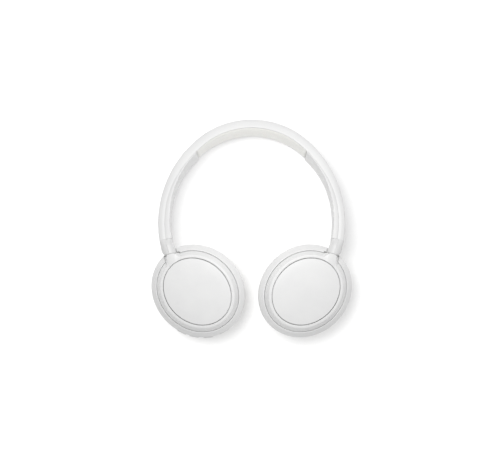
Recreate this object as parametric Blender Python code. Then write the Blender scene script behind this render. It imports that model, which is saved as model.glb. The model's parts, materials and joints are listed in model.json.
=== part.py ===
"""Wireless over-ear headphones lying flat: both cups swivelled so their outer discs face up.

Frame: +Z up from the table, +Y towards the crown of the headband, +X towards the wearer's left ear.
Lengths below are in millimetres and become metres when each mesh is made.
"""
import math

import bmesh
import bpy
from mathutils import Matrix, Vector

MM = 0.001
GAP = 0.3                       # clearance left between touching pieces

# Headband: two arcs a side, measured along the outer surface from the crown.
CROWN_Y, CROWN_Z = 93.54, 13.53  # middle of the crown's outer surface
BAND_TILT = math.radians(7.1)   # the band's plane rises from the crown's edge to the arm tips
CROWN_R, SIDE_R = 72.3, 93.0
CROWN_SPAN = 37.8               # heading, in degrees, where the crown arc meets the side arc
PAD_SPAN = 45.0                 # heading of the headband cushion's ends
BAND_END, TIP_END = 100.0, 108.5
BAND_WIDTH, END_WIDTH = 28.0, 14.4
RIM_DEPTH, SIDE_RIM = 7.9, 6.2   # shell rims, at the crown and at the sides
BAND_DEPTH, END_DEPTH = 8.9, 10.8   # whole band with its inner trim
WALL = 2.2                      # shell wall
RAIL_U = 74.2                   # the straight slider rails' distance from the middle
RAIL_START, RAIL_STOP = -66.0, -110.2   # their ends, down from the crown in the band's plane
TRAVEL = 28.0                   # how far each arm slides out
GUIDE_START, GUIDE_STOP = -78.0, -91.0   # ends of the sleeve round each rail
NOTCH_LAST, NOTCHES = -99.5, 6   # lowest size notch, and how many steps there are above it
TIP_RADIUS = 5.8                # round end of each arm, turned about the swivel axis
BARREL = 6.5                    # length of that round end

# Ear cups: ovals, each ring a constant distance inside the outline.
CUP_X, CUP_Y = 46.4, -53.26
CUP_A, CUP_B = 42.9, 38.4       # half lengths of the outline's long and short axes
CUP_LEAN = math.radians(42.5)   # long axis above the X axis, up and outwards
PAD_TOP, SHOULDER_TOP, TRENCH_FLOOR = 15.0, 26.8, 19.3
TRENCH, SKIRT, RECESS = 5.3, 5.8, 11.6   # distances inside the outline
DRUM = 10.1                     # raised middle of the housing, under the hanger
DRUM_TOP, LID_UNDER, RECESS_FLOOR, RIM_TOP = 25.3, 28.2, 29.7, 31.3
TILT_Z = 25.0                   # height of the tilt pins
NECK_WIDTH = 11.4               # arm of the hanger that carries the swivel pin
PIN_RADIUS = 1.7
DRIVER_RADIUS = 17.0
CUP_STEPS = 40

SIDES = (("right", -1), ("left", 1))    # the wearer's right and left
BUTTON_Z = 18.2
BUTTONS = (("volume_down_button", -21.9), ("power_button", -5.5), ("volume_up_button", 12.0))

WHITE = (0.86, 0.86, 0.85, 1.0)
CREAM = (0.80, 0.79, 0.75, 1.0)
STEEL = (0.62, 0.63, 0.65, 1.0)
DARK = (0.05, 0.05, 0.055, 1.0)
GREEN = (0.05, 0.22, 0.12, 1.0)


# ---------------------------------------------------------------- scene, materials, objects

def clear_scene():
    for old in list(bpy.data.objects):
        bpy.data.objects.remove(old, do_unlink=True)


def material(name, colour, roughness, metallic=0.0):
    made = bpy.data.materials.get(name)
    if made is None:
        made = bpy.data.materials.new(name)
        made.use_nodes = True
        shader = made.node_tree.nodes["Principled BSDF"]
        shader.inputs["Base Color"].default_value = colour
        shader.inputs["Roughness"].default_value = roughness
        shader.inputs["Metallic"].default_value = metallic
    return made


def white_plastic():
    return material("white_plastic", WHITE, 0.45)


def grey_plastic():
    return material("inner_plastic", (0.45, 0.45, 0.46, 1.0), 0.6)


def soft_cover():
    return material("soft_cover", CREAM, 0.6)


def steel():
    return material("steel", STEEL, 0.3, 1.0)


def dark_plastic():
    return material("dark_plastic", DARK, 0.5)


def board_green():
    return material("circuit_board", GREEN, 0.5)


def new_object(name, bm, look, parent=None):
    """Turn a mesh in millimetres into a named object in metres."""
    bmesh.ops.scale(bm, vec=(MM, MM, MM), verts=bm.verts)
    bmesh.ops.recalc_face_normals(bm, faces=bm.faces)
    mesh = bpy.data.meshes.new(name)
    bm.to_mesh(mesh)
    bm.free()
    mesh.materials.append(look)
    mesh.shade_smooth()
    mesh.set_sharp_from_angle(angle=math.radians(35))
    made = bpy.data.objects.new(name, mesh)
    bpy.context.scene.collection.objects.link(made)
    if parent is not None:
        made.parent = parent
        made.matrix_parent_inverse = parent.matrix_world.inverted()
    return made


def cut(target, bm, operation="DIFFERENCE"):
    """Boolean the target with a hidden cutter made from a mesh in millimetres."""
    label = f"{target.name}_cutter_{len(target.modifiers)}"
    cutter = new_object(label, bm, grey_plastic())
    cutter.hide_render = True
    cutter.display_type = "WIRE"
    boolean = target.modifiers.new(label, "BOOLEAN")
    boolean.operation = operation
    boolean.solver = "EXACT"
    boolean.object = cutter


def joint_empty(name, place):
    made = bpy.data.objects.new(name, None)
    bpy.context.scene.collection.objects.link(made)
    made.location = place * MM
    bpy.context.view_layer.update()
    return made


# ---------------------------------------------------------------- mesh helpers

def smooth_step(low, high, value):
    share = min(1.0, max(0.0, (value - low) / (high - low)))
    return share * share * (3 - 2 * share)


def loft(loops, closed=False):
    """Skin a list of equal loops of points; closed joins the last loop to the first."""
    bm = bmesh.new()
    rings = [[bm.verts.new(point) for point in loop] for loop in loops]
    pairs = list(zip(rings, rings[1:]))
    if closed:
        pairs.append((rings[-1], rings[0]))
    else:
        bm.faces.new(rings[0])
        bm.faces.new(rings[-1])
    count = len(loops[0])
    for first, second in pairs:
        for i in range(count):
            j = (i + 1) % count
            bm.faces.new((first[i], first[j], second[j], second[i]))
    return bm


def frame_from(axis, across):
    """Rotation whose Z column is axis and whose X column is as near across as it can be."""
    z = axis.normalized()
    x = (across - across.dot(z) * z).normalized()
    return Matrix((x, z.cross(x), z)).transposed()


def cylinder(start, end, radius, steps=20):
    length = (end - start).length
    turn = frame_from(end - start, Vector((0.3, 0.2, 1.0)))
    rings = []
    for height in (0.0, length):
        ring = [start + turn @ Vector((radius * math.cos(math.tau * i / steps),
                                       radius * math.sin(math.tau * i / steps), height))
                for i in range(steps)]
        rings.append(ring)
    return loft(rings)


def block(centre, turn, size, bevel=0.0):
    """A box of the given size along the columns of turn, with its edges rounded."""
    bm = bmesh.new()
    bmesh.ops.create_cube(bm, size=1.0)
    bmesh.ops.scale(bm, vec=size, verts=bm.verts)
    if bevel:
        bmesh.ops.bevel(bm, geom=bm.edges[:], offset=bevel, segments=2, affect="EDGES")
    bmesh.ops.transform(bm, matrix=Matrix.Translation(centre) @ turn.to_4x4(), verts=bm.verts)
    return bm


# ---------------------------------------------------------------- headband geometry

def band_point(heading, depth, across):
    """Point at a signed heading from the crown, a depth below the outer surface and across the width."""
    side = -1 if heading < 0 else 1
    angle = math.radians(abs(heading))
    knee = math.radians(CROWN_SPAN)
    crown_angle = min(angle, knee)
    u = CROWN_R * math.sin(crown_angle)
    v = CROWN_R * (math.cos(crown_angle) - 1)
    if angle > knee:
        u += SIDE_R * (math.sin(angle) - math.sin(knee))
        v += SIDE_R * (math.cos(angle) - math.cos(knee))
    u -= depth * math.sin(angle)
    v -= depth * math.cos(angle)
    return Vector((side * u,
                   CROWN_Y + v * math.cos(BAND_TILT) + across * math.sin(BAND_TILT),
                   CROWN_Z - v * math.sin(BAND_TILT) + across * math.cos(BAND_TILT)))


def half_width(heading):
    return (BAND_WIDTH + (END_WIDTH - BAND_WIDTH) * smooth_step(25, BAND_END, abs(heading))) / 2


def rim_depth(heading):
    return RIM_DEPTH + (SIDE_RIM - RIM_DEPTH) * smooth_step(PAD_SPAN, 80, abs(heading))


def band_depth(heading):
    return BAND_DEPTH + (END_DEPTH - BAND_DEPTH) * smooth_step(55, BAND_END, abs(heading))


def band_sweep(start, end, step, section):
    """Sweep section(heading), a list of (across, depth) points, along the band."""
    count = max(1, round(abs(end - start) / step))
    loops = []
    for i in range(count + 1):
        heading = start + (end - start) * i / count
        loops.append([band_point(heading, depth, across) for across, depth in section(heading)])
    return loft(loops)


def rail_point(side, down, across):
    """Point on a slider rail's middle line."""
    return Vector((side * RAIL_U,
                   CROWN_Y + down * math.cos(BAND_TILT) + across * math.sin(BAND_TILT),
                   CROWN_Z - down * math.sin(BAND_TILT) + across * math.cos(BAND_TILT)))


def slide_direction():
    """The way that each arm slides out of the band."""
    return Vector((0.0, -math.cos(BAND_TILT), math.sin(BAND_TILT)))


def rail_block(side, start, stop, half_across, half_thick):
    """Box along a rail between two distances down from the crown."""
    centre = rail_point(side, (start + stop) / 2, 0.0)
    turn = Matrix((Vector((1.0, 0.0, 0.0)), band_normal(), slide_direction())).transposed()
    return block(centre, turn, (2 * half_thick, 2 * half_across, abs(stop - start)))


def swivel_line(side):
    """Middle of the arm's end face, and the direction from the arm into the cup."""
    tip = band_point(side * TIP_END, TIP_RADIUS, 0.0)
    before = band_point(side * (TIP_END - 0.5), TIP_RADIUS, 0.0)
    after = band_point(side * (TIP_END + 0.5), TIP_RADIUS, 0.0)
    return tip, (after - before).normalized()


def band_normal():
    """Across the band's width, up and away from the table."""
    return Vector((0.0, math.sin(BAND_TILT), math.cos(BAND_TILT)))


# ---------------------------------------------------------------- headband pieces

def shell_section(heading):
    a, depth = half_width(heading), rim_depth(heading)
    outer = [(-a, depth), (-a, 3.0), (-a + 0.7, 1.3), (-a + 2.4, 0.35), (-a * 0.4, 0.05)]
    outer += [(-across, t) for across, t in reversed(outer)]
    inner = a - WALL
    return outer + [(inner, depth), (inner, WALL), (-inner, WALL), (-inner, depth)]


def headband_shell():
    bm = band_sweep(-BAND_END, BAND_END, 5.0, shell_section)
    return new_object("headband_shell", bm, white_plastic())


def headband_cushion():
    def section(heading):
        a = half_width(heading) - WALL - GAP
        rise = 1.9 * (1 - smooth_step(20, PAD_SPAN, abs(heading)))
        top = rim_depth(heading)
        points = [(-a, top - 2.0), (-a, top - 0.3), (-a * 0.8, top + 0.45 * rise), (-a * 0.4, top + 0.9 * rise)]
        return points + [(-across, t) for across, t in reversed(points)]
    new_object("headband_cushion", band_sweep(-PAD_SPAN, PAD_SPAN, 5.0, section), soft_cover())


def strip(name, start, end, step, half, low, high, look):
    """A plain strip along the band between two depths."""
    bm = band_sweep(start, end, step, lambda heading: [(-half, high), (-half, low), (half, low), (half, high)])
    return new_object(name, bm, look)


def inner_trim(word, side):
    """Crowned cover that sits on the shell's rims."""
    def section(heading):
        a, low, high = half_width(heading) - 0.2, rim_depth(heading) + GAP, band_depth(heading)
        rise = high - low
        half = [(-a + 2.2, high - 1.8), (-a + 1.8, low), (-a, low), (-a, low + 0.45 * rise),
                (-a + 1.2, low + 0.8 * rise), (-a * 0.55, high)]
        if high - 1.8 < low:
            half[0] = (-a + 2.2, low)
        return half + [(-across, t) for across, t in reversed(half)]
    bm = band_sweep(side * (PAD_SPAN + 0.4), side * (BAND_END - 0.2), 4.5, section)
    new_object(f"inner_trim_{word}", bm, white_plastic())


def headband_cable():
    def section(heading):
        return [(9.2 + 0.7 * math.cos(math.tau * i / 6), 3.3 + 0.7 * math.sin(math.tau * i / 6)) for i in range(6)]
    new_object("headband_cable", band_sweep(-50, 50, 5.0, section), dark_plastic())


def slider_guide(word, side):
    """Sleeve near the band's end that the rail slides in."""
    guide = new_object(f"slider_guide_{word}", rail_block(side, GUIDE_START, GUIDE_STOP, 4.7, 1.7), grey_plastic())
    cut(guide, rail_block(side, GUIDE_START + 8, GUIDE_STOP - 8, 3.8, 1.05))


def detent_spring(word, side):
    """Bent leaf beside the rail whose nose drops into the rail's notches."""
    loops = []
    for i in range(9):
        down = -95.5 - i
        edge = 4.25 - 0.6 * math.exp(-((down - NOTCH_LAST) / 1.2) ** 2)
        loops.append([rail_point(side, down, across) + Vector((thick, 0.0, 0.0))
                      for across, thick in ((edge, 0.7), (edge, -0.7), (edge + 0.3, -0.7), (edge + 0.3, 0.7))])
    new_object(f"detent_spring_{word}", loft(loops), steel())


# ---------------------------------------------------------------- arm pieces

def rounded(across, along, centre, turn, power, steps=20):
    """Loop of a rounded box section; power 2 is an ellipse and higher powers are squarer."""
    loop = []
    for i in range(steps):
        c, s = math.cos(math.tau * (i + 0.5) / steps), math.sin(math.tau * (i + 0.5) / steps)
        x = math.copysign(abs(c) ** (2 / power), c) * across
        y = math.copysign(abs(s) ** (2 / power), s) * along
        loop.append(centre + turn @ Vector((x, y, 0.0)))
    return loop


def arm_body(side):
    """Loft from the band's section to the round barrel on the swivel axis."""
    tip, axis = swivel_line(side)
    up = band_normal()
    barrel_turn = frame_from(axis, up)
    loops = []
    for heading, power in ((BAND_END + 0.3, 4.5), (BAND_END + 1.4, 4.0), (BAND_END + 2.6, 3.2)):
        depth = band_depth(heading) / 2
        centre = band_point(side * heading, depth, 0.0)
        ahead = band_point(side * (heading + 0.1), depth, 0.0) - centre
        wide = half_width(heading) - (heading - BAND_END) * 0.35
        loops.append(rounded(wide, depth, centre, frame_from(ahead, up), power))
    for back, radius in ((BARREL, TIP_RADIUS), (1.0, TIP_RADIUS), (0.3, TIP_RADIUS - 0.4), (0.0, TIP_RADIUS - 1.2)):
        loops.append(rounded(radius, radius, tip - axis * back, barrel_turn, 2.0))
    return loft(loops)


def slider_rail(word, side, parent):
    """Straight steel strip with a row of size notches along one edge."""
    rail = new_object(f"slider_rail_{word}", rail_block(side, RAIL_START, RAIL_STOP, 3.5, 0.7), steel(), parent)
    for i in range(NOTCHES + 1):
        spot = rail_point(side, NOTCH_LAST + i * TRAVEL / NOTCHES, 3.7)
        cut(rail, cylinder(spot - Vector((2, 0, 0)), spot + Vector((2, 0, 0)), 0.7, 8))


def arm_covers(word, side, parent):
    """Outer and inner halves of the arm's end, split along the swivel axis."""
    tip, axis = swivel_line(side)
    up = band_normal()
    outward = axis.cross(up) * -side
    turn = Matrix((outward, up, axis)).transposed()
    for half, sign in (("outer", 1), ("inner", -1)):
        cover = new_object(f"arm_{half}_cover_{word}", arm_body(side), white_plastic(), parent)
        middle = tip - axis * 8 + outward * sign * (10 + GAP / 2)
        cut(cover, block(middle, turn, (20, 30, 40)), "INTERSECT")
        cut(cover, cylinder(tip - axis * 5.8, tip + axis * 3, PIN_RADIUS + GAP, 16))
        cut(cover, rail_block(side, RAIL_STOP + 12, RAIL_STOP - 0.4, 3.8, 1.0))


# ---------------------------------------------------------------- cup geometry

def cup_axes(side):
    along = Vector((side * math.cos(CUP_LEAN), math.sin(CUP_LEAN), 0.0))
    across = Vector((-side * math.sin(CUP_LEAN), math.cos(CUP_LEAN), 0.0))
    return Vector((side * CUP_X, CUP_Y, 0.0)), along, across


def oval(side, inset, z, steps=CUP_STEPS):
    """Loop round the cup, a constant inset inside its outline."""
    centre, along, across = cup_axes(side)
    loop = []
    for i in range(steps):
        angle = math.tau * (i + 0.5) / steps
        loop.append(centre + along * (CUP_A - inset) * math.cos(angle)
                    + across * (CUP_B - inset) * math.sin(angle) + Vector((0.0, 0.0, z)))
    return loop


def oval_solid(side, profile, closed=False, steps=CUP_STEPS):
    return loft([oval(side, inset, z, steps) for inset, z in profile], closed)


def disc_solid(side, radius, low, high, steps=24, hole=0.0):
    """Round plate about the cup's middle, with an optional hole."""
    centre = cup_axes(side)[0]
    rings = [(radius, low), (radius, high), (hole, high), (hole, low)] if hole else [(radius, low), (radius, high)]
    loops = [[centre + Vector((r * math.cos(math.tau * i / steps), r * math.sin(math.tau * i / steps), z))
              for i in range(steps)] for r, z in rings]
    return loft(loops, closed=bool(hole))


def rim_spot(side, direction, inset, z):
    """Point on the outline in a direction from the cup's middle, and the outline's outward normal there."""
    centre, along, across = cup_axes(side)
    angle = math.atan2(direction.dot(across) / CUP_B, direction.dot(along) / CUP_A)
    normal = (along * math.cos(angle) / CUP_A + across * math.sin(angle) / CUP_B).normalized()
    rim = centre + along * CUP_A * math.cos(angle) + across * CUP_B * math.sin(angle)
    return rim - normal * inset + Vector((0.0, 0.0, z)), normal


def tilt_axis(side):
    """Line through the cup's middle, in the cup's plane and square to the swivel axis."""
    axis = swivel_line(side)[1]
    return Vector((axis.y, -axis.x, 0.0)).normalized()


def neck_turn(side):
    axis = swivel_line(side)[1]
    flat = Vector((axis.x, axis.y, 0.0)).normalized()
    return frame_from(Vector((0.0, 0.0, 1.0)), flat), flat


# ---------------------------------------------------------------- hanger pieces

def cup_hanger(word, side, parent):
    """Lid over the housing's drum, with the neck that hangs it on the arm."""
    lid = [(SKIRT, 22.6), (SKIRT, 24.6), (SKIRT + 0.6, 26.6), (SKIRT + 1.3, 28.8), (SKIRT + 2.2, 30.4),
           (SKIRT + 3.4, 31.1), (RECESS - 0.6, RIM_TOP), (RECESS, RIM_TOP)]
    hanger = new_object(f"cup_hanger_{word}", oval_solid(side, lid), white_plastic(), parent)
    tip, axis = swivel_line(side)
    turn, flat = neck_turn(side)
    start, length = 0.9, 12.6
    middle = tip + flat * (start + length / 2)
    middle.z = (23.6 + 31.0) / 2
    cut(hanger, block(middle, turn, (length, NECK_WIDTH, 31.0 - 23.6), 0.9), "UNION")
    cut(hanger, oval_solid(side, [(RECESS, RECESS_FLOOR), (RECESS, RIM_TOP + 5)]))
    cut(hanger, oval_solid(side, [(DRUM - 1.2, 15.0), (DRUM - 1.2, LID_UNDER)]))
    cut(hanger, cylinder(tip - axis * 2, tip + axis * 6.5, PIN_RADIUS + GAP, 16))
    return hanger


def outer_disc(word, side, parent):
    profile = [(RECESS + 0.5, RECESS_FLOOR + GAP), (RECESS + 0.5, 31.2), (RECESS + 0.8, 31.5)]
    new_object(f"outer_disc_{word}", oval_solid(side, profile), white_plastic(), parent)


def swivel_pin(word, side, parent):
    tip, axis = swivel_line(side)
    new_object(f"swivel_pin_{word}", cylinder(tip - axis * 5.4, tip + axis * 6.1, PIN_RADIUS, 16), steel(), parent)


def tilt_pin_ends(side, hand):
    """Inner and outer ends of one tilt pin, from the drum's wall to the hanger's skirt."""
    direction = tilt_axis(side) * hand
    outer, _ = rim_spot(side, direction, 0.0, TILT_Z)
    return outer, -direction


def tilt_pins(word, side, parent, hanger, housing):
    for place, hand in (("front", 1), ("rear", -1)):
        rim, inward = tilt_pin_ends(side, hand)
        new_object(f"tilt_pin_{place}_{word}", cylinder(rim + inward * 8.0, rim + inward * 12.5, 1.0, 12),
                   steel(), parent)
        cut(hanger, cylinder(rim + inward * 7.7, rim + inward * 10, 1.0 + GAP, 12))
        cut(housing, cylinder(rim + inward * 9, rim + inward * 14, 1.0 + GAP, 12))


# ---------------------------------------------------------------- cup pieces

def ear_housing(word, side, parent):
    """Shoulder ring, trench floor and raised drum, open towards the ear."""
    profile = [(1.0, 16.0), (0.2, 17.2), (0.0, 18.6), (0.25, 21.0), (1.0, 22.8),
               (TRENCH - 1.3, SHOULDER_TOP - 1.0), (TRENCH - 0.6, SHOULDER_TOP - 0.4), (TRENCH, SHOULDER_TOP - 0.5),
               (TRENCH, TRENCH_FLOOR), (DRUM, TRENCH_FLOOR), (DRUM, DRUM_TOP)]
    housing = new_object(f"ear_housing_{word}", oval_solid(side, profile), white_plastic(), parent)
    cut(housing, oval_solid(side, [(2.8, 10.0), (2.8, TRENCH_FLOOR - 1.6)]))
    cut(housing, oval_solid(side, [(DRUM + 1.7, 12.0), (DRUM + 1.7, DRUM_TOP - 1.5)]))
    tip, _ = swivel_line(side)
    turn, flat = neck_turn(side)
    middle = tip + flat * 1.0
    middle.z = TRENCH_FLOOR - 0.5 + 10
    cut(housing, block(middle, turn, (18, NECK_WIDTH + 1.2, 20)))
    return housing


def baffle(word, side, parent):
    made = new_object(f"baffle_{word}", oval_solid(side, [(3.2, 15.9), (3.2, 17.4)]), grey_plastic(), parent)
    cut(made, disc_solid(side, DRIVER_RADIUS + 0.4, 10, 20))
    return made


def driver(word, side, parent):
    new_object(f"driver_frame_{word}", disc_solid(side, DRIVER_RADIUS, 15.9, 18.2, hole=12.0), dark_plastic(), parent)
    new_object(f"diaphragm_{word}", disc_solid(side, 11.6, 16.0, 16.3, steps=20), dark_plastic(), parent)
    new_object(f"driver_magnet_{word}", disc_solid(side, 9.5, 18.6, 20.1, steps=20), steel(), parent)


def ear_pad(word, side, parent):
    """Soft ring with a flat face on the table."""
    profile = [(4.6, 0.0), (2.6, 1.6), (1.6, 5.0), (1.6, 10.5), (2.6, PAD_TOP), (14.0, PAD_TOP),
               (15.4, 9.0), (14.6, 3.0), (12.4, 0.0)]
    new_object(f"ear_pad_{word}", oval_solid(side, profile, closed=True), soft_cover(), parent)


def pad_ring(word, side, parent):
    profile = [(2.6, PAD_TOP + 0.3), (2.6, 15.6), (11.5, 15.6), (11.5, PAD_TOP + 0.3)]
    new_object(f"pad_ring_{word}", oval_solid(side, profile, closed=True), grey_plastic(), parent)


def speaker_cloth(word, side, parent):
    bm = oval_solid(side, [(11.8, 15.0), (11.8, 15.5)])
    new_object(f"speaker_cloth_{word}", bm, material("speaker_cloth", (0.1, 0.1, 0.1, 1.0), 0.9), parent)


def baffle_screws(word, side, parent, plate):
    """Two screws through the baffle, heads towards the ear."""
    for number, angle in ((1, 20.0), (2, 200.0)):
        direction = Matrix.Rotation(math.radians(angle) * side, 3, "Z") @ cup_axes(side)[1]
        spot, _ = rim_spot(side, direction, 8.0, 0.0)
        up = Vector((0.0, 0.0, 1.0))
        new_object(f"baffle_screw_{number}_{word}", cylinder(spot + up * 15.9, spot + up * 17.3, 1.5, 12),
                   steel(), parent)
        cut(plate, cylinder(spot + up * 10, spot + up * 20, 1.5 + GAP, 12))


# ---------------------------------------------------------------- electronics and buttons

def main_board(parent):
    centre, along, _ = cup_axes(-1)
    place = centre + Vector((0.0, 0.0, 23.2))
    turn = frame_from(Vector((0.0, 0.0, 1.0)), along)
    new_object("main_board", block(place, turn, (36, 26, 0.8)), board_green(), parent)


def battery(parent):
    """Flat cell in its tray, above the magnet in the left cup."""
    centre, along, _ = cup_axes(1)
    turn = frame_from(Vector((0.0, 0.0, 1.0)), along)
    tray = new_object("battery_tray", block(centre + Vector((0.0, 0.0, 21.9)), turn, (40, 29, 3.0)),
                      grey_plastic(), parent)
    cut(tray, block(centre + Vector((0.0, 0.0, 25.9)), turn, (37, 27, 10.0)))
    new_object("battery", block(centre + Vector((0.0, 0.0, 22.35)), turn, (36.4, 26.4, 2.3), 0.5),
               dark_plastic(), parent)


def button_frame(angle, z=BUTTON_Z):
    """Place and turn of a button on the right cup: X along the rim, Y up, Z outwards."""
    down = Matrix.Rotation(math.radians(angle), 3, "Z") @ Vector((0.0, -1.0, 0.0))
    spot, normal = rim_spot(-1, down, 0.0, z)
    return spot, normal, frame_from(normal, Vector((0.0, 0.0, 1.0)).cross(normal))


def rim_strip(start, end, section, steps=8):
    """Strip that follows the right cup's rim between two angles; section lists (inset, z)."""
    loops = []
    for i in range(steps + 1):
        spot, normal, _ = button_frame(start + (end - start) * i / steps, 0.0)
        loops.append([spot - normal * inset + Vector((0.0, 0.0, z)) for inset, z in section])
    return loft(loops)


def button(name, angle, parent, housing):
    spot, normal, turn = button_frame(angle)
    new_object(name, block(spot - normal * 1.1, turn, (8.2, 2.6, 3.6), 0.6), white_plastic(), parent)
    cut(housing, block(spot - normal * 0.4, turn, (8.9, 3.3, 6.4)))


def button_board(parent, plate):
    """Narrow board with three switch bodies, in a notch of the baffle behind the buttons."""
    board = new_object("button_board", rim_strip(-29, 19, [(4.4, 16.1), (4.4, 17.4), (5.2, 17.4), (5.2, 16.1)]),
                       board_green(), parent)
    for _, angle in BUTTONS:
        spot, normal, turn = button_frame(angle, 16.8)
        cut(board, block(spot - normal * 4.2, turn, (3.0, 1.2, 1.4)), "UNION")
    cut(plate, rim_strip(-31, 21, [(2.0, 12.0), (2.0, 20.0), (5.8, 20.0), (5.8, 12.0)]))


def usb_socket(parent, housing):
    """Charging socket in the rim of the right cup, its mouth outwards."""
    spot, normal, turn = button_frame(32.0, 20.2)
    socket = new_object("charging_socket", block(spot - normal * 2.0, turn, (8.9, 3.0, 3.2), 0.25), steel(), parent)
    cut(socket, block(spot, turn, (8.1, 2.2, 5.6)))
    cut(housing, block(spot - normal * 0.6, turn, (9.6, 3.6, 7.0)))


def status_light(parent, housing):
    spot, normal, _ = button_frame(-36.0)
    new_object("status_light", cylinder(spot - normal * 2.4, spot - normal * 0.1, 0.7, 10), dark_plastic(), parent)
    cut(housing, cylinder(spot - normal * 2.7, spot + normal * 2, 1.0, 10))


def microphone(parent, housing):
    spot, normal, turn = button_frame(-48.0)
    new_object("microphone", block(spot - normal * 2.4, turn, (3.0, 2.0, 1.2)), dark_plastic(), parent)
    cut(housing, block(spot - normal * 2.4, turn, (3.6, 2.6, 1.8)))
    cut(housing, cylinder(spot - normal * 2.4, spot + normal * 2, 0.5, 8))


# ---------------------------------------------------------------- assembly

def build():
    clear_scene()
    headband_shell()
    headband_cushion()
    strip("cushion_carrier", -44, 44, 5.5, 8.0, 4.0, 4.9, grey_plastic())
    strip("spring_band", -66, 66, 5.5, 6.0, 2.6, 3.4, steel())
    headband_cable()
    housings, plates, cups = {}, {}, {}
    for word, side in SIDES:
        inner_trim(word, side)
        slider_guide(word, side)
        detent_spring(word, side)
        arm = joint_empty(f"{word}_size_slide", rail_point(side, NOTCH_LAST, 0.0))
        slider_rail(word, side, arm)
        arm_covers(word, side, arm)
        swivel = joint_empty(f"{word}_swivel", swivel_line(side)[0])
        hanger = cup_hanger(word, side, swivel)
        outer_disc(word, side, swivel)
        swivel_pin(word, side, swivel)
        tilt = joint_empty(f"{word}_tilt", cup_axes(side)[0] + Vector((0.0, 0.0, TILT_Z)))
        housing = ear_housing(word, side, tilt)
        tilt_pins(word, side, tilt, hanger, housing)
        plates[word] = baffle(word, side, tilt)
        baffle_screws(word, side, tilt, plates[word])
        driver(word, side, tilt)
        ear_pad(word, side, tilt)
        pad_ring(word, side, tilt)
        speaker_cloth(word, side, tilt)
        housings[word], cups[word] = housing, tilt
    main_board(cups["right"])
    battery(cups["left"])
    for name, angle in BUTTONS:
        spot = button_frame(angle)[0]
        button(name, angle, joint_empty(f"{name}_press", spot), housings["right"])
    button_board(cups["right"], plates["right"])
    usb_socket(cups["right"], housings["right"])
    status_light(cups["right"], housings["right"])
    microphone(cups["right"], housings["right"])


build()
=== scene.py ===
"""Looks for the white wireless headphones: fine shells, leather pads, cloth, plastics, light and camera.

Lengths are millimetres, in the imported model's own frame, until a mesh is made; MM turns them into metres.
"""
import json
import math
import random

import bmesh
import bpy
from mathutils import Matrix, Vector


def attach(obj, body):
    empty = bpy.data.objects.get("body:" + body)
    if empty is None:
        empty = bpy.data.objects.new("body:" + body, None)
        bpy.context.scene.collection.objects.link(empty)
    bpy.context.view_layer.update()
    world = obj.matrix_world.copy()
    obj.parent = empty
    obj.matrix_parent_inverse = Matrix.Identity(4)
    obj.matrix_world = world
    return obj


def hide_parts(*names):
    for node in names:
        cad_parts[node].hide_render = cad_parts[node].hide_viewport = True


MM = 0.001
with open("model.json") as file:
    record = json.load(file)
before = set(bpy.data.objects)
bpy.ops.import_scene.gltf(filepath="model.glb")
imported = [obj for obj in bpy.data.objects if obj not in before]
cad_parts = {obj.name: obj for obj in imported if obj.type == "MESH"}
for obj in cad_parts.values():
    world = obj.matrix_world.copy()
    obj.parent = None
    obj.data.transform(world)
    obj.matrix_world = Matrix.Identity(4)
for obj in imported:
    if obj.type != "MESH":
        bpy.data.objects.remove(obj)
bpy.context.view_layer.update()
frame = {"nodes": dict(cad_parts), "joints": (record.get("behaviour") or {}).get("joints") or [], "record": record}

# Headband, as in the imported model: two arcs a side along the outer surface.
CROWN_Y, CROWN_Z = 93.54, 13.53
BAND_TILT = math.radians(7.1)
CROWN_R, SIDE_R = 72.3, 93.0
CROWN_SPAN, PAD_SPAN, BAND_END = 37.8, 45.0, 100.0   # degrees from the crown
BAND_WIDTH, END_WIDTH = 28.0, 14.4
RIM_DEPTH, SIDE_RIM = 7.9, 6.2
BAND_DEPTH, END_DEPTH = 8.9, 10.8
WALL = 2.2
RAIL_U, RAIL_STOP = 74.2, -110.2    # the rails: out from the middle, and their far ends from the crown
TIP_RADIUS, BARREL = 5.75, 6.5      # the arm's round end, and how far its barrel reaches back
TIP_EDGE, TIP_CORNER = 0.7, 4.4     # rounding of the arm's end, and of its outer corner
TAPER_LOOPS, TAPER_STEP = 7, 0.45   # sections from the band to the barrel, and degrees between them
HALF_GAP = 0.04                     # half a parting line: degrees along the band, mm between arm halves
SEAM_DIP = 0.06                     # depth of the shallow valley where the shell meets the trims

# Ear cups: ovals. A ring's half axes are shorter than the outline's by its inset.
CUP_A, CUP_B = 42.9, 38.4
CUP_LEAN = math.radians(42.5)
PAD_TOP, SHOULDER_TOP, TRENCH_FLOOR = 15.0, 27.0, 19.3
TRENCH, SKIRT, RECESS, DRUM = 5.56, 5.68, 11.6, 10.1   # insets: groove, rim, disc recess, raised middle
DRUM_TOP, LID_UNDER, RECESS_FLOOR, RIM_TOP = 25.3, 28.2, 29.7, 31.3
HOUSING_FOOT, HOUSING_WALL, RIM_FOOT = 16.0, 1.6, 22.6
NECK_OUTER, NECK_INNER = -5.1, 7.4  # the neck's sides, from the swivel axis towards the other cup
NECK_GAP = 0.1                      # between the arm's end face and the neck
SIDES = (("right", -1), ("left", 1))

# Right cup's lower edge: angles are degrees round the cup from straight down, sizes are width, height, depth.
BUTTON_Z = 18.2
BUTTONS = (("volume_down_button", -21.9), ("power_button", -5.5), ("volume_up_button", 12.0))
BUTTON_SIZE, POCKET_SIZE = (8.2, 2.6, 3.0), (8.6, 3.0, 7.4)
SOCKET_ANGLE, SOCKET_Z, SOCKET_SIZE = 32.0, 20.2, (9.3, 3.3, 7.0)
PINHOLES = ((-36.0, 2.7, 0.9), (-48.0, 2.4, 0.5))   # status light, microphone: angle, depth, radius

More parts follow.
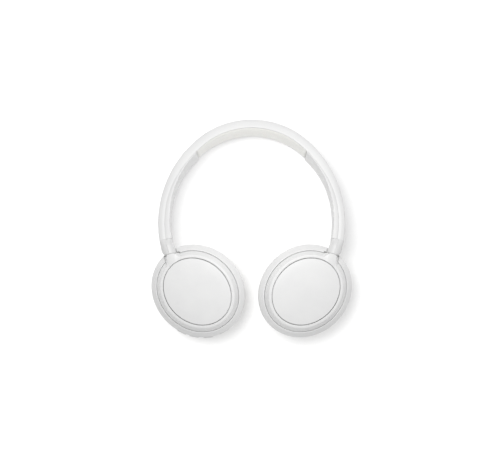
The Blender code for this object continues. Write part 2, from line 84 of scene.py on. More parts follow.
# Ear pads' seams.
INNER_SEAM, OUTER_SEAM = 13.6, 1.6                  # insets of the seams the leather is gathered into
WELT_INSET, WELT_Z, WELT_RADIUS = 14.35, 3.3, 0.42
STITCH_INSET, STITCH_Z, STITCH_THICK = 13.1, 1.45, 0.34
STITCH_SPOTS = 168                                  # every second gap between two spots holds a stitch

# Stage: lights are place, diameter and watts; the camera and the floor's glow are in metres.
SOFTBOX = (Vector((8.0, 60.0, 300.0)), 150.0, 0.53)
FLOOR_LIGHT = (Vector((-150.0, 130.0, 600.0)), 350.0, 3.1)
WORLD_LIGHT = 0.50
GLOW_UNDER, GLOW_AROUND = 0.36, 0.60                # the floor's own light below the object and away from it
GLOW_START, GLOW_STOP = 0.06, 0.26
CAMERA_PLACE = Vector((0.0, -0.0229, 0.620))
LENS, SHIFT_X, SHIFT_Y = 49.7, -0.0034, 0.062

FINE = 240                          # points round an oval
ROUND_STEPS = 6                     # steps round a filleted corner
UP = Vector((0.0, math.sin(BAND_TILT), math.cos(BAND_TILT)))   # across the band's width


# ---------------------------------------------------------------- frame lookups

def joint_place(name):
    """A joint's position in millimetres and its axis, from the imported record."""
    found = next(j for j in frame["joints"] if j["name"] == name)
    return Vector(found["pos_m"]) / MM, Vector(found["axis"]).normalized()


def swivel_line(side):
    """Middle of the arm's end face, and the direction from the arm into the cup."""
    tip, axis = joint_place("left_swivel" if side > 0 else "right_swivel")
    return tip, -axis * side


def neck_frame(side):
    """Tip and swivel axis, the axis laid level, and the level direction towards the other cup."""
    tip, axis = swivel_line(side)
    flat = Vector((axis.x, axis.y, 0.0)).normalized()
    return tip, axis, flat, Vector((flat.y, -flat.x, 0.0)) * side


def cup_axes(side):
    """Middle of a cup on the floor, and the directions of its long and short axes."""
    centre = joint_place("left_tilt" if side > 0 else "right_tilt")[0]
    along = Vector((side * math.cos(CUP_LEAN), math.sin(CUP_LEAN), 0.0))
    across = Vector((-side * math.sin(CUP_LEAN), math.cos(CUP_LEAN), 0.0))
    return Vector((centre.x, centre.y, 0.0)), along, across


# ---------------------------------------------------------------- mesh helpers

def smooth_step(low, high, value):
    """Ease from 0 at low to 1 at high; low may be the greater of the two."""
    share = min(1.0, max(0.0, (value - low) / (high - low)))
    return share * share * (3 - 2 * share)


def fillet(corners, closed=True):
    """Outline whose corners (x, y, radius) are rounded, each with equally many points."""
    points = []
    count = len(corners)
    for i, (x, y, radius) in enumerate(corners):
        here = Vector((x, y))
        if radius == 0 or (not closed and i in (0, count - 1)):
            points.append((x, y))
            continue
        before = Vector(corners[i - 1][:2]) - here
        after = Vector(corners[(i + 1) % count][:2]) - here
        half = before.angle(after) / 2
        reach = min(radius / math.tan(half), 0.49 * before.length, 0.49 * after.length)
        first = here + before.normalized() * reach
        last = here + after.normalized() * reach
        for k in range(ROUND_STEPS + 1):
            s = k / ROUND_STEPS
            spot = first * (1 - s) ** 2 + here * 2 * s * (1 - s) + last * s ** 2
            points.append((spot.x, spot.y))
    return points


def loft(loops, closed=False):
    """Skin over loops with equally many points: capped at both ends, or closed into a ring."""
    bm = bmesh.new()
    rings = [[bm.verts.new(point) for point in loop] for loop in loops]
    pairs = list(zip(rings, rings[1:]))
    if closed:
        pairs.append((rings[-1], rings[0]))
    else:
        bm.faces.new(rings[0])
        bm.faces.new(rings[-1])
    count = len(loops[0])
    for first, second in pairs:
        for i in range(count):
            j = (i + 1) % count
            bm.faces.new((first[i], first[j], second[j], second[i]))
    return bm


def frame_from(axis, across):
    """Rotation whose z lies along the axis, and whose x is as near as can be to across."""
    z = axis.normalized()
    x = (across - across.dot(z) * z).normalized()
    return Matrix((x, z.cross(x), z)).transposed()


def cylinder(start, end, radius, steps=24):
    turn = frame_from(end - start, Vector((0.3, 0.2, 1.0)))
    rings = []
    for height in (0.0, (end - start).length):
        rings.append([start + turn @ Vector((radius * math.cos(math.tau * i / steps),
                                             radius * math.sin(math.tau * i / steps), height))
                      for i in range(steps)])
    return loft(rings)


def block(centre, turn, size, bevel=0.0, segments=4):
    bm = bmesh.new()
    bmesh.ops.create_cube(bm, size=1.0)
    bmesh.ops.scale(bm, vec=size, verts=bm.verts)
    if bevel:
        bmesh.ops.bevel(bm, geom=bm.edges[:], offset=bevel, segments=segments, profile=0.5, affect="EDGES")
    bmesh.ops.transform(bm, matrix=Matrix.Translation(centre) @ turn.to_4x4(), verts=bm.verts)
    return bm


def shade(mesh, sharp=40):
    """Smooth shading, but for edges sharper than an angle in degrees."""
    mesh.shade_smooth()
    mesh.set_sharp_from_angle(angle=math.radians(sharp))


def make(name, bm, look, sharp=40):
    """Turn a mesh in millimetres into a named object in metres, shaded smooth."""
    bmesh.ops.scale(bm, vec=(MM, MM, MM), verts=bm.verts)
    bmesh.ops.recalc_face_normals(bm, faces=bm.faces)
    mesh = bpy.data.meshes.new(name)
    bm.to_mesh(mesh)
    bm.free()
    if look is not None:
        mesh.materials.append(look)
    shade(mesh, sharp)
    made = bpy.data.objects.new(name, mesh)
    bpy.context.scene.collection.objects.link(made)
    return made


def cut(target, bm, operation="DIFFERENCE"):
    """Boolean the target at once, and remove the cutter."""
    cutter = make(target.name + "_cutter", bm, None)
    boolean = target.modifiers.new("cut", "BOOLEAN")
    boolean.operation = operation
    boolean.solver = "EXACT"
    boolean.object = cutter
    bake_modifiers(target)
    bpy.data.objects.remove(cutter, do_unlink=True)


def bake_modifiers(target):
    """Replace the object's mesh with its evaluated one, and drop the modifiers."""
    bpy.context.view_layer.update()
    seen = target.evaluated_get(bpy.context.evaluated_depsgraph_get())
    fresh = bpy.data.meshes.new_from_object(seen)
    target.modifiers.clear()
    target.data = fresh


def fit(piece, body, slot, *nodes):
    """Put a finished piece on its body, in place of its CAD nodes; its material slot is not used."""
    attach(piece, body)
    if nodes:
        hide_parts(*nodes)


# ---------------------------------------------------------------- headband geometry

def band_point(heading, depth, across):
    """Point at a heading in degrees from the crown, a depth below the outer surface, off the middle line."""
    side = -1 if heading < 0 else 1
    angle, knee = math.radians(abs(heading)), math.radians(CROWN_SPAN)
    crown_angle = min(angle, knee)
    u = CROWN_R * math.sin(crown_angle)
    v = CROWN_R * (math.cos(crown_angle) - 1)
    if angle > knee:
        u += SIDE_R * (math.sin(angle) - math.sin(knee))
        v += SIDE_R * (math.cos(angle) - math.cos(knee))
    u -= depth * math.sin(angle)
    v -= depth * math.cos(angle)
    return Vector((side * u,
                   CROWN_Y + v * math.cos(BAND_TILT) + across * math.sin(BAND_TILT),
                   CROWN_Z - v * math.sin(BAND_TILT) + across * math.cos(BAND_TILT)))


def rail_block(side, start, stop, half_across, half_thick):
    """Box along a slider rail between two distances down from the crown."""
    down = (start + stop) / 2
    centre = Vector((side * RAIL_U,
                     CROWN_Y + down * math.cos(BAND_TILT),
                     CROWN_Z - down * math.sin(BAND_TILT)))
    forward = Vector((0.0, -math.cos(BAND_TILT), math.sin(BAND_TILT)))
    turn = Matrix((Vector((1.0, 0.0, 0.0)), UP, forward)).transposed()
    return block(centre, turn, (2 * half_thick, 2 * half_across, abs(stop - start)))


def half_width(heading):
    return (BAND_WIDTH + (END_WIDTH - BAND_WIDTH) * smooth_step(25, BAND_END, abs(heading))) / 2


def rim_depth(heading):
    return RIM_DEPTH + (SIDE_RIM - RIM_DEPTH) * smooth_step(PAD_SPAN, 80, abs(heading))


def band_depth(heading):
    return BAND_DEPTH + (END_DEPTH - BAND_DEPTH) * smooth_step(55, BAND_END, abs(heading))


def band_sweep(start, end, step, section):
    """Carry a section, given as points (across, depth) at each heading, along part of the band."""
    count = max(1, round(abs(end - start) / step))
    headings = [start + (end - start) * i / count for i in range(count + 1)]
    return loft([[band_point(h, depth, across) for across, depth in section(h)] for h in headings])


# ---------------------------------------------------------------- material helpers

def new_material(name, colour, roughness):
    made = bpy.data.materials.new(name)
    made.use_nodes = True
    shader = made.node_tree.nodes["Principled BSDF"]
    shader.inputs["Base Color"].default_value = (*colour, 1.0)
    shader.inputs["Roughness"].default_value = roughness
    return made, made.node_tree, shader


def add_node(tree, kind, values=(), **settings):
    node = tree.nodes.new(kind)
    for key, value in settings.items():
        setattr(node, key, value)
    for socket, value in dict(values).items():
        node.inputs[socket].default_value = value
    return node


def object_space(tree):
    """Position in the object's own space, in metres; one node serves a whole material."""
    place = tree.nodes.get("place") or add_node(tree, "ShaderNodeTexCoord")
    place.name = "place"
    return place.outputs["Object"]


def noise(tree, scale, detail=2.0, roughness=0.5):
    """Noise texture in object space, its scale in features a metre."""
    place = object_space(tree)
    node = add_node(tree, "ShaderNodeTexNoise", {"Scale": scale, "Detail": detail, "Roughness": roughness})
    tree.links.new(place, node.inputs["Vector"])
    return node.outputs["Fac"]


def spread(tree, source, low, high, start=0.3, end=0.7):
    """Map a 0 to 1 pattern onto a range of values."""
    node = add_node(tree, "ShaderNodeMapRange",
                    {"From Min": start, "From Max": end, "To Min": low, "To Max": high})
    tree.links.new(source, node.inputs["Value"])
    return node.outputs["Result"]


def two_tone(tree, source, first, second, start=0.35, end=0.65):
    ramp = add_node(tree, "ShaderNodeValToRGB")
    ramp.color_ramp.elements[0].position = start
    ramp.color_ramp.elements[0].color = (*first, 1.0)
    ramp.color_ramp.elements[1].position = end
    ramp.color_ramp.elements[1].color = (*second, 1.0)
    tree.links.new(source, ramp.inputs["Fac"])
    return ramp.outputs["Color"]


def bump(tree, shader, height, distance, strength=1.0, under=None):
    node = add_node(tree, "ShaderNodeBump", {"Strength": strength, "Distance": distance})
    tree.links.new(height, node.inputs["Height"])
    if under is not None:
        tree.links.new(under, node.inputs["Normal"])
    tree.links.new(node.outputs["Normal"], shader.inputs["Normal"])
    return node.outputs["Normal"]


# ---------------------------------------------------------------- materials

def white_plastic(name="white_plastic", tone=0.80, roughness=0.42, grain=0.000012):
    """Satin moulded plastic: fine spark-eroded texture, faint cloudiness, slightly uneven gloss."""
    made, tree, shader = new_material(name, (tone, tone, tone), roughness)
    cloud = noise(tree, 60.0, 3.0)
    tree.links.new(two_tone(tree, cloud, (tone * 0.985,) * 3, (tone * 1.012, tone * 1.012, tone * 1.008)),
                   shader.inputs["Base Color"])
    tree.links.new(spread(tree, noise(tree, 240.0, 3.0), roughness - 0.05, roughness + 0.05),
                   shader.inputs["Roughness"])
    shader.inputs["Specular IOR Level"].default_value = 0.5
    bump(tree, shader, noise(tree, 9000.0, 2.0), grain)
    return made


def leather(name, tone):
    """Soft synthetic leather: pebbled grain over shallow creases, with a faint sheen."""
    roughness = 0.5
    made, tree, shader = new_material(name, tone, roughness)
    place = object_space(tree)
    cells = add_node(tree, "ShaderNodeTexVoronoi", {"Scale": 1500.0, "Randomness": 0.9},
                     feature="DISTANCE_TO_EDGE")
    warp = noise(tree, 300.0, 3.0)
    push = add_node(tree, "ShaderNodeVectorMath", operation="MULTIPLY_ADD")
    tree.links.new(warp, push.inputs[0])
    push.inputs[1].default_value = (0.0012, 0.0012, 0.0012)
    tree.links.new(place, push.inputs[2])
    tree.links.new(push.outputs["Vector"], cells.inputs["Vector"])
    pebble = spread(tree, cells.outputs["Distance"], 0.0, 1.0, 0.0, 0.25)
    # Darker in the hollows between the pebbles, where the bump sinks: painted shade in the grain.
    dark = tuple(c * 0.93 for c in tone)
    light = tuple(min(1.0, c * 1.02) for c in tone)
    tree.links.new(two_tone(tree, pebble, dark, light, 0.0, 0.7), shader.inputs["Base Color"])
    tree.links.new(spread(tree, noise(tree, 90.0, 4.0), roughness - 0.07, roughness + 0.08),
                   shader.inputs["Roughness"])
    shader.inputs["Sheen Weight"].default_value = 0.15
    shader.inputs["Sheen Roughness"].default_value = 0.5
    creases = bump(tree, shader, noise(tree, 180.0, 4.0, 0.6), 0.00022, 0.35)
    bump(tree, shader, pebble, 0.00005, 0.6, creases)
    return made


def speaker_cloth_look():
    """Black woven cloth: two crossing waves, with a painted highlight on the raised threads and painted shade in
    the hollows.
    """
    made, tree, shader = new_material("speaker_cloth", (0.03, 0.03, 0.033), 0.85)
    place = object_space(tree)
    waves = []
    for direction in ("X", "Y"):
        wave = add_node(tree, "ShaderNodeTexWave", {"Scale": 420.0, "Distortion": 0.4, "Detail": 1.0},
                        wave_type="BANDS", bands_direction=direction)
        tree.links.new(place, wave.inputs["Vector"])
        waves.append(wave.outputs["Fac"])
    weave = add_node(tree, "ShaderNodeMath", operation="MULTIPLY")
    tree.links.new(waves[0], weave.inputs[0])
    tree.links.new(waves[1], weave.inputs[1])
    # Painted shade in the weave's hollows, painted highlight on its raised threads.
    deep, raised = (0.012, 0.012, 0.013), (0.06, 0.06, 0.065)
    tone = two_tone(tree, weave.outputs["Value"], deep, raised, 0.1, 0.8)
    tree.links.new(tone, shader.inputs["Base Color"])
    bump(tree, shader, weave.outputs["Value"], 0.0002, 0.8)
    shader.inputs["Sheen Weight"].default_value = 0.4
    return made


def plain_plastic(name, tone, roughness=0.5):
    """Matt moulded plastic for the pieces inside, with a slightly uneven gloss."""
    made, tree, shader = new_material(name, tone, roughness)
    tree.links.new(spread(tree, noise(tree, 300.0, 3.0), roughness - 0.06, roughness + 0.06),
                   shader.inputs["Roughness"])
    bump(tree, shader, noise(tree, 5000.0, 2.0), 0.00002)
    return made


def steel_look():
    """Steel with fine mottling in its gloss."""
    made, tree, shader = new_material("steel", (0.60, 0.61, 0.63), 0.3)
    shader.inputs["Metallic"].default_value = 1.0
    tree.links.new(spread(tree, noise(tree, 900.0, 5.0, 0.7), 0.2, 0.42), shader.inputs["Roughness"])
    bump(tree, shader, noise(tree, 4000.0, 3.0), 0.00001)
    return made


def board_look():
    """Green board with slightly lighter patches."""
    made, tree, shader = new_material("circuit_board", (0.03, 0.16, 0.08), 0.4)
    tree.links.new(two_tone(tree, noise(tree, 700.0, 1.0), (0.02, 0.12, 0.06), (0.04, 0.2, 0.1), 0.48, 0.52),
                   shader.inputs["Base Color"])
    return made


def floor_look():
    """Pale sheet lit from within, like a light table, and more so away from the object."""
    made, tree, shader = new_material("pale_floor", (0.62, 0.62, 0.62), 0.9)
    shader.inputs["Specular IOR Level"].default_value = 0.0
    tree.links.new(two_tone(tree, noise(tree, 3.0, 2.0), (0.615,) * 3, (0.625,) * 3),
                   shader.inputs["Base Color"])
    shader.inputs["Emission Color"].default_value = (1.0, 1.0, 1.0, 1.0)
    distance = add_node(tree, "ShaderNodeVectorMath", operation="LENGTH")
    tree.links.new(object_space(tree), distance.inputs[0])
    glow = spread(tree, distance.outputs["Value"], GLOW_UNDER, GLOW_AROUND, GLOW_START, GLOW_STOP)
    tree.links.new(glow, shader.inputs["Emission Strength"])
    return made


WHITE = white_plastic()
BAND_WHITE = white_plastic("band_plastic", 0.785, 0.42)
DISC_WHITE = white_plastic("disc_plastic", 0.80, 0.38, 0.000008)
# The arms and inner trims are the same moulded white as the shell; this darker copy of it is painted shade,
# standing for the shade that falls on them.
SHADED_ARM_WHITE = white_plastic("arm_plastic_painted_shade", 0.72, 0.42)
PAD_LEATHER = leather("ear_pad_leather", (0.78, 0.775, 0.75))
BAND_LEATHER = leather("headband_leather", (0.835, 0.83, 0.80))
CLOTH = speaker_cloth_look()
INNER = plain_plastic("inner_plastic", (0.42, 0.42, 0.43))
DARK = plain_plastic("dark_plastic", (0.035, 0.035, 0.04), 0.45)
STEEL = steel_look()
BOARD = board_look()
THREAD = plain_plastic("seam_thread", (0.72, 0.71, 0.68), 0.8)
SLOT_LOOKS = {"white_plastic": WHITE, "inner_plastic": INNER, "soft_cover": PAD_LEATHER, "steel": STEEL,
              "dark_plastic": DARK, "circuit_board": BOARD, "speaker_cloth": CLOTH}


def dress_cad_nodes():
    """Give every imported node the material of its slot; those that stay hidden inside keep it too."""
    slots = {entry["node"]: entry["material_slot"] for entry in frame["record"]["subparts"]}
    for name, node in frame["nodes"].items():
        node.data.materials.clear()
        node.data.materials.append(SLOT_LOOKS[slots[name]])
        shade(node.data, 35)


# ---------------------------------------------------------------- headband

def shell_section(heading):
    """Channel open towards the head: a rounded bead at the crown, leaning out at the sides."""
    a, depth = half_width(heading), rim_depth(heading)
    side = smooth_step(PAD_SPAN, 90, abs(heading))
    lean, rounding = 0.3 + 0.6 * side, 2.6 + 1.2 * side
    inner = a - WALL
    corners = [(a - SEAM_DIP, depth, 0.4), (a - 0.04, depth - 1.7, 1.6), (a - 0.06, 3.6, 2.0),
               (a - lean, 0.0, rounding)]
    corners += [(-across, t, radius) for across, t, radius in reversed(corners)]
    corners += [(-inner, depth, 0.4), (-inner, WALL, 0.4), (inner, WALL, 0.4), (inner, depth, 0.4)]
    bead = 0.35 * (1 - side)
    points = []
    for across, t in fillet(corners):
        drop = bead * ((t - 6.0) / 5.0) ** 2 * smooth_step(0.7, 0.9, abs(across) / a)
        crown = 0.5 * (across / a) ** 2 * (1 - smooth_step(1.0, 4.0, t))
        points.append((across - math.copysign(drop, across), t + crown))
    return points


def headband_shell():
    made = make("headband_shell_fine", band_sweep(-BAND_END, BAND_END, 1.25, shell_section), BAND_WHITE)
    fit(made, "headband", "white_plastic", "headband_shell")


def cushion_section(heading):
    """Crowned strip: deepest at the crown of the band, its edges rolled down into the channel."""
    a = half_width(heading) - WALL - 0.22
    end = smooth_step(PAD_SPAN - 1.3, PAD_SPAN, abs(heading))
    top = rim_depth(heading)
    rise = 0.5 + 1.6 * (1 - smooth_step(18, PAD_SPAN, abs(heading)))
    points = []
    steps = 48
    for i in range(steps + 1):
        x = math.sin(math.pi / 2 * (-1 + 2 * i / steps))
        edge = math.sqrt(1 - (1 - min(1.0, (1 - abs(x)) / 0.11)) ** 2)
        swell = top - 1.7 + 1.8 * edge + rise * edge * (1 - x * x) ** 0.8
        points.append((a * x, swell - 1.4 * end ** 2))
    return [(-a, top - 3.4)] + points + [(a, top - 3.4)]


def headband_cushion():
    strip = band_sweep(-PAD_SPAN, PAD_SPAN, 0.6, cushion_section)
    made = make("headband_cushion_soft", strip, BAND_LEATHER)
    fit(made, "headband", "soft_cover", "headband_cushion")


def trim_section(heading):
    """Crowned cover on the shell's rims, its inner edges softly rounded over."""
    a, low, high = half_width(heading), rim_depth(heading) + 0.07, band_depth(heading)
    under = max(high - 1.6, low + 0.05)
    reach = min(1.7, 0.5 * (high - low))
    half = [(-a + 2.2, under, 0), (-a + 1.8, low, 0), (-a + SEAM_DIP, low, 0.1),
            (-a + 0.04, low + reach, 1.2), (-a + 0.12, high - 0.1, 0.9), (0.0, high, 0)]
    points = fillet(half, closed=False)[:-1]
    return points + [(-across, t) for across, t in reversed(points)]


def inner_trims():
    for word, side in SIDES:
        bm = band_sweep(side * (PAD_SPAN + 0.3), side * (BAND_END - HALF_GAP), 1.25, trim_section)
        fit(make(f"inner_trim_fine_{word}", bm, SHADED_ARM_WHITE), "headband", "white_plastic", f"inner_trim_{word}")


# ---------------------------------------------------------------- arms

def rounded_loop(across, along, centre, turn, power, seam=0.0, seam_depth=0.0):
    """Section between an ellipse and a box; a seam is a shallow valley in both sides, part way down."""
    steps = 96
    loop = []
    for i in range(steps):
        c, s = math.cos(math.tau * (i + 0.5) / steps), math.sin(math.tau * (i + 0.5) / steps)
        x = math.copysign(abs(c) ** (2 / power), c) * across
        y = math.copysign(abs(s) ** (2 / power), s) * along
        x *= 1 - seam_depth / across * math.exp(-((y - seam) / 0.7) ** 2)
        loop.append(centre + turn @ Vector((x, y, 0.0)))
    return loop


def arm_body(side):
    """Loft from the band's section to the round barrel on the swivel axis, its end rounded over."""
    tip, axis = swivel_line(side)
    barrel_turn = frame_from(axis, UP)
    loops = []
    for i in range(TAPER_LOOPS):
        heading = BAND_END + HALF_GAP + TAPER_STEP * i
        depth = band_depth(heading) / 2
        centre = band_point(side * heading, depth, 0.0)
        ahead = band_point(side * (heading + 0.1), depth, 0.0) - centre
        lip = 0.08 if i == 0 else 0.0
        share = i / (TAPER_LOOPS - 1)
        wide = END_WIDTH / 2 - 1.0 * share - lip
        turn = frame_from(ahead, UP)
        inward = 1 if turn.col[1].x * side < 0 else -1
        loops.append(rounded_loop(wide, depth - lip, centre, turn, 5.0 - 2.0 * share,
                                  seam=inward * (SIDE_RIM - depth), seam_depth=0.3 * (1 - share)))
    loops.append(rounded_loop(TIP_RADIUS, TIP_RADIUS, tip - axis * BARREL, barrel_turn, 2.15))
    outward = axis.cross(UP) * -side
    end_steps = 8
    for i in range(end_steps + 1):
        angle = math.pi / 2 * i / end_steps
        loop = []
        for point in rounded_loop(1.0, 1.0, Vector(), barrel_turn, 2.0):
            edge = TIP_EDGE + (TIP_CORNER - TIP_EDGE) * max(0.0, point.dot(outward)) ** 2
            back = axis * edge * (1 - math.sin(angle))
            loop.append(tip - back + point * (TIP_RADIUS - edge * (1 - math.cos(angle))))
        loops.append(loop)
    return loft(loops)


def arm_covers():
    """Each arm is split along its parting line, and bored for the swivel pin and the rail."""
    for word, side in SIDES:
        tip, axis = swivel_line(side)
        outward = axis.cross(UP) * -side
        turn = Matrix((outward, UP, axis)).transposed()
        for half, sign in (("outer", 1), ("inner", -1)):
            cover = make(f"arm_{half}_fine_{word}", arm_body(side), SHADED_ARM_WHITE)
            middle = tip - axis * 8 + outward * sign * (10 + HALF_GAP)
            cut(cover, block(middle, turn, (20, 30, 40)), "INTERSECT")
            cut(cover, cylinder(tip - axis * 5.8, tip + axis * 3, 2.0, 32))
            cut(cover, rail_block(side, RAIL_STOP + 12, RAIL_STOP - 0.4, 3.8, 1.0))
            shade(cover.data)
            fit(cover, f"{word}_arm", "white_plastic", f"arm_{half}_cover_{word}")


# ---------------------------------------------------------------- cups

def oval(side, inset, z, steps=FINE):
    """Loop round a cup, an inset inside its outline and at a height."""
    centre, along, across = cup_axes(side)
    loop = []
    for i in range(steps):
        angle = math.tau * (i + 0.5) / steps
        loop.append(centre + along * (CUP_A - inset) * math.cos(angle)
                    + across * (CUP_B - inset) * math.sin(angle) + Vector((0.0, 0.0, z)))
    return loop


def oval_solid(side, profile):
    """Solid round a cup, from a section given as points (inset, height)."""
    return loft([oval(side, inset, z) for inset, z in profile])


def rim_spot(side, direction, z):
    """Point on a cup's outline that faces a direction, and the outward normal there."""
    centre, along, across = cup_axes(side)
    angle = math.atan2(direction.dot(across) / CUP_B, direction.dot(along) / CUP_A)
    normal = (along * math.cos(angle) / CUP_A + across * math.sin(angle) / CUP_B).normalized()
    rim = centre + along * CUP_A * math.cos(angle) + across * CUP_B * math.sin(angle)
    return rim + Vector((0.0, 0.0, z)), normal


def button_frame(angle, z=BUTTON_Z):
    """Spot on the right cup's lower edge, its outward normal, and a rotation with z along that normal."""
    down = Matrix.Rotation(math.radians(angle), 3, "Z") @ Vector((0.0, -1.0, 0.0))
    spot, normal = rim_spot(-1, down, z)
    return spot, normal, frame_from(normal, Vector((0.0, 0.0, 1.0)).cross(normal))


def cup_hanger(word, side):
    """Raised rim round the disc, drawn out into the neck that meets the arm."""
    tip, axis, flat, lateral = neck_frame(side)
    corner = SKIRT + 3.5
    profile = fillet([(RECESS + 1.2, RECESS_FLOOR, 0), (RECESS + 1.0, RECESS_FLOOR - 0.9, 0),
                      (RECESS, RECESS_FLOOR - 0.9, 0), (RECESS, RIM_TOP, 0.3), (corner, RIM_TOP, 1.7),
                      (SKIRT + 0.25, 26.4, 1.0), (SKIRT, 25.6, 0.3), (SKIRT + 0.15, RIM_FOOT, 0.3),
                      (DRUM - 1.2, RIM_FOOT, 0.3), (DRUM - 1.2, LID_UNDER, 0)], closed=False)
    loops = []
    for inset, z in profile:
        outside = inset <= corner + 1.0 and z > 23.5
        loop = []
        for point in oval(side, inset, z, 720):
            s = (point - tip).dot(flat)
            inward = (point - tip).dot(lateral)
            soft = smooth_step(25.0, RIM_TOP, z)
            round_top = tip.z + math.sqrt(max(0.0, (TIP_RADIUS - 0.2) ** 2 - inward ** 2)) - 0.4
            lift = max(0.0, round_top - RIM_TOP) * soft
            reach = (NECK_GAP - (z + lift - tip.z) * axis.z) / axis.dot(flat)
            if outside and reach < s < 12:
                share = smooth_step(NECK_OUTER - 0.75, NECK_OUTER - 0.25 + 3.6 * soft, inward)
                share *= 1 - smooth_step(NECK_INNER - 0.1 - 4.0 * soft, NECK_INNER + 0.6, inward)
                point = point + share * (Vector((0.0, 0.0, lift)) - flat * (s - reach))
            loop.append(point)
        loops.append(loop)
    hanger = make(f"cup_hanger_fine_{word}", loft(loops), WHITE)
    fit(hanger, f"{word}_hanger", "white_plastic", f"cup_hanger_{word}")


def outer_disc(word, side):
    """Flat oval disc with a softened edge, inside the rim and a thin gap."""
    profile = fillet([(RECESS + 0.62, RECESS_FLOOR + 0.2, 0), (RECESS + 0.62, 31.45, 0.25), (20.0, 31.5, 0)],
                     closed=False)
    made = make(f"outer_disc_fine_{word}", oval_solid(side, profile), DISC_WHITE)
    fit(made, f"{word}_hanger", "white_plastic", f"outer_disc_{word}")


def ear_housing(word, side):
    """Side wall, sloping shoulder, groove and raised middle, cut for the arm, the neck and the controls."""
    under = TRENCH_FLOOR - HOUSING_WALL
    profile = fillet([(DRUM + 1.7, DRUM_TOP - 1.5, 0), (DRUM + 1.7, under, 0.3), (2.8, under, 0.3),
                      (2.8, HOUSING_FOOT, 0.2), (0.9, HOUSING_FOOT, 0.5), (0.0, 18.0, 2.0),
                      (0.35, 22.0, 2.2), (TRENCH, SHOULDER_TOP, 1.0), (TRENCH, TRENCH_FLOOR, 0.6),
                      (DRUM, TRENCH_FLOOR, 0.5), (DRUM, DRUM_TOP, 0)], closed=False)
    housing = make(f"ear_housing_fine_{word}", oval_solid(side, profile), WHITE)
    tip, _, flat, lateral = neck_frame(side)
    edge, deep = TIP_RADIUS + 0.45, 9.2
    arm_slot = fillet([(-edge, -9, 0), (-edge, 0.3, TIP_CORNER), (edge, 0.3, TIP_EDGE), (edge, -9, 0)])
    neck_slot = fillet([(NECK_OUTER - 0.8, -2, 0), (NECK_OUTER - 0.8, deep, 1), (NECK_INNER + 0.9, deep, 1),
                        (NECK_INNER + 0.9, -0.5, 0.6), (edge - 1, -0.5, 0), (edge - 1, -2, 0)])
    for outline in (arm_slot, neck_slot):
        plan = [tip + lateral * inward + flat * s for inward, s in outline]
        ends = [[Vector((point.x, point.y, z)) for point in plan] for z in (TRENCH_FLOOR - 0.5, 40.0)]
        cut(housing, loft(ends))
    if word == "right":
        for _, angle in BUTTONS:
            spot, normal, turn = button_frame(angle)
            cut(housing, block(spot - normal * 0.4, turn, POCKET_SIZE, 0.5))
        spot, normal, turn = button_frame(SOCKET_ANGLE, SOCKET_Z)
        cut(housing, block(spot - normal * 0.6, turn, SOCKET_SIZE, 1.2))
        for angle, depth, radius in PINHOLES:
            spot, normal, _ = button_frame(angle)
            cut(housing, cylinder(spot - normal * depth, spot + normal * 2, radius))
    shade(housing.data)
    fit(housing, f"{word}_cup", "white_plastic", f"ear_housing_{word}")


def buttons():
    """Three small bumps in their pockets, each on its own sprung body."""
    for name, angle in BUTTONS:
        spot, normal, turn = button_frame(angle)
        made = make(name + "_fine", block(spot - normal * 1.0, turn, BUTTON_SIZE, 0.6, 5), WHITE)
        fit(made, name, "white_plastic", name)


def pad_profile():
    """Section of an ear pad, from its outer top edge round the face that touches the head."""
    return fillet([(2.9, PAD_TOP, 0.6), (1.6, 12.9, 1.2), (1.25, 6.0, 3.0), (2.6, 0.4, 3.4),
                   (7.5, -0.25, 4.5), (12.6, 0.5, 3.6), (15.3, 4.8, 3.0), (15.2, 11.0, 2.0),
                   (14.0, PAD_TOP, 0.6)])


def pucker(turn, waves):
    """Depth of the uneven creases round a seam, none to about 1.7, from a few seeded waves."""
    total = sum(depth * math.cos(count * turn + phase) for count, phase, depth in waves)
    return max(0.0, 0.5 + total) ** 2


def ear_pad(word, side):
    """Leather ring pulled over foam: creases run across it from the inner seam and fade over its face."""
    random.seed(11 + side)
    waves = [(random.randint(low, low + 12), random.uniform(0, math.tau), 0.2)
             for low in (17, 31, 47, 66)]
    middle = cup_axes(side)[0]
    loops = []
    for inset, z in pad_profile():
        seam = math.exp(-((inset - INNER_SEAM) / 1.6) ** 2) * smooth_step(9.0, 3.0, z)
        outer_seam = math.exp(-((inset - OUTER_SEAM) / 1.0) ** 2) * smooth_step(9.0, 12.5, z)
        loop = []
        for point in oval(side, inset, z, 480):
            away = point - middle
            crease = pucker(math.atan2(away.y, away.x), waves)
            lift = 0.8 * crease * seam
            flat = Vector((away.x, away.y, 0.0)).normalized()
            loop.append(point - flat * (0.16 * crease * outer_seam) + Vector((0.0, 0.0, lift)))
        loops.append(loop)
    made = make(f"ear_pad_soft_{word}", loft(loops, closed=True), PAD_LEATHER, 60)
    fit(made, f"{word}_cup", "soft_cover", f"ear_pad_{word}")
    pad_stitches(word, side)


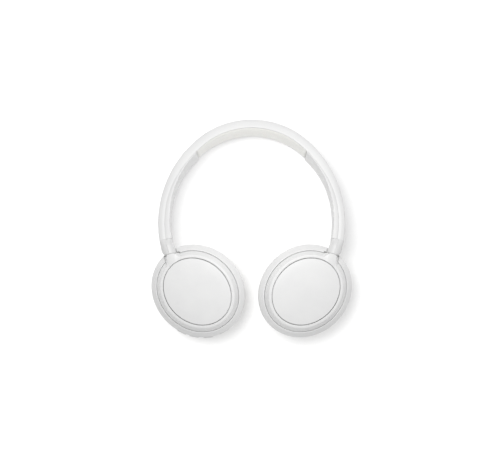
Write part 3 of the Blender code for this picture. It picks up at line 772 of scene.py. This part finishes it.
def pad_stitches(word, side):
    """Welt cord round the pad's opening, with a row of short stitches beside it."""
    loops = []
    for i in range(8):
        angle = math.tau * i / 8
        inset = WELT_INSET + WELT_RADIUS * math.cos(angle)
        loops.append(oval(side, inset, WELT_Z + WELT_RADIUS * math.sin(angle), 200))
    welt = make(f"pad_welt_{word}", loft(loops, closed=True), PAD_LEATHER)
    fit(welt, f"{word}_cup", "soft_cover")
    bm = bmesh.new()
    ring = oval(side, STITCH_INSET, STITCH_Z, STITCH_SPOTS)
    for i in range(0, len(ring), 2):
        start, end = ring[i], ring[i + 1]
        turn = frame_from(end - start, Vector((0.0, 0.0, 1.0)))
        size = (STITCH_THICK, STITCH_THICK, (end - start).length * 0.95)
        stitch = block((start + end) / 2, turn, size, 0.15, 2)
        mesh = bpy.data.meshes.new("stitch")
        stitch.to_mesh(mesh)
        stitch.free()
        bm.from_mesh(mesh)
        bpy.data.meshes.remove(mesh)
    fit(make(f"pad_stitches_{word}", bm, THREAD), f"{word}_cup", "soft_cover")


# ---------------------------------------------------------------- stage

def area_light(name, place, size, power, floor, floor_only):
    """Soft round light over the object that lights either the floor alone or everything but the floor."""
    data = bpy.data.lights.new(name, "AREA")
    data.shape = "DISK"
    data.size = size * MM
    data.energy = power
    made = bpy.data.objects.new(name, data)
    bpy.context.scene.collection.objects.link(made)
    made.location = place * MM
    made.rotation_mode = "QUATERNION"
    made.rotation_quaternion = (-place).to_track_quat("-Z", "Y")
    made.visible_camera = False
    lit = bpy.data.collections.new(name + "_lights")
    lit.objects.link(floor)
    made.light_linking.receiver_collection = lit
    lit.collection_objects[0].light_linking.link_state = "INCLUDE" if floor_only else "EXCLUDE"


def stage():
    """Glowing floor, even world light, and a soft light each for the object and the floor."""
    scene = bpy.context.scene
    scene.view_settings.view_transform = "Standard"
    bm = bmesh.new()
    bmesh.ops.create_grid(bm, x_segments=8, y_segments=8, size=3000.0)
    floor = make("floor", bm, floor_look())
    floor.location.z = -0.0001
    world = bpy.data.worlds.new("studio")
    scene.world = world
    world.use_nodes = True
    world.node_tree.nodes["Background"].inputs["Color"].default_value = (1.0, 1.0, 1.0, 1.0)
    world.node_tree.nodes["Background"].inputs["Strength"].default_value = WORLD_LIGHT
    area_light("softbox", *SOFTBOX, floor, False)
    area_light("floor_light", *FLOOR_LIGHT, floor, True)


def camera():
    """Camera looking straight down."""
    data = bpy.data.cameras.new("camera")
    data.sensor_width = 36.0
    data.lens = LENS
    data.shift_x = SHIFT_X
    data.shift_y = SHIFT_Y
    data.clip_start = 0.01
    made = bpy.data.objects.new("camera", data)
    bpy.context.scene.collection.objects.link(made)
    made.location = CAMERA_PLACE
    bpy.context.scene.camera = made


# ---------------------------------------------------------------- assembly

def build():
    dress_cad_nodes()
    headband_shell()
    headband_cushion()
    inner_trims()
    arm_covers()
    for word, side in SIDES:
        cup_hanger(word, side)
        outer_disc(word, side)
        ear_housing(word, side)
        ear_pad(word, side)
    buttons()
    stage()
    camera()


build()
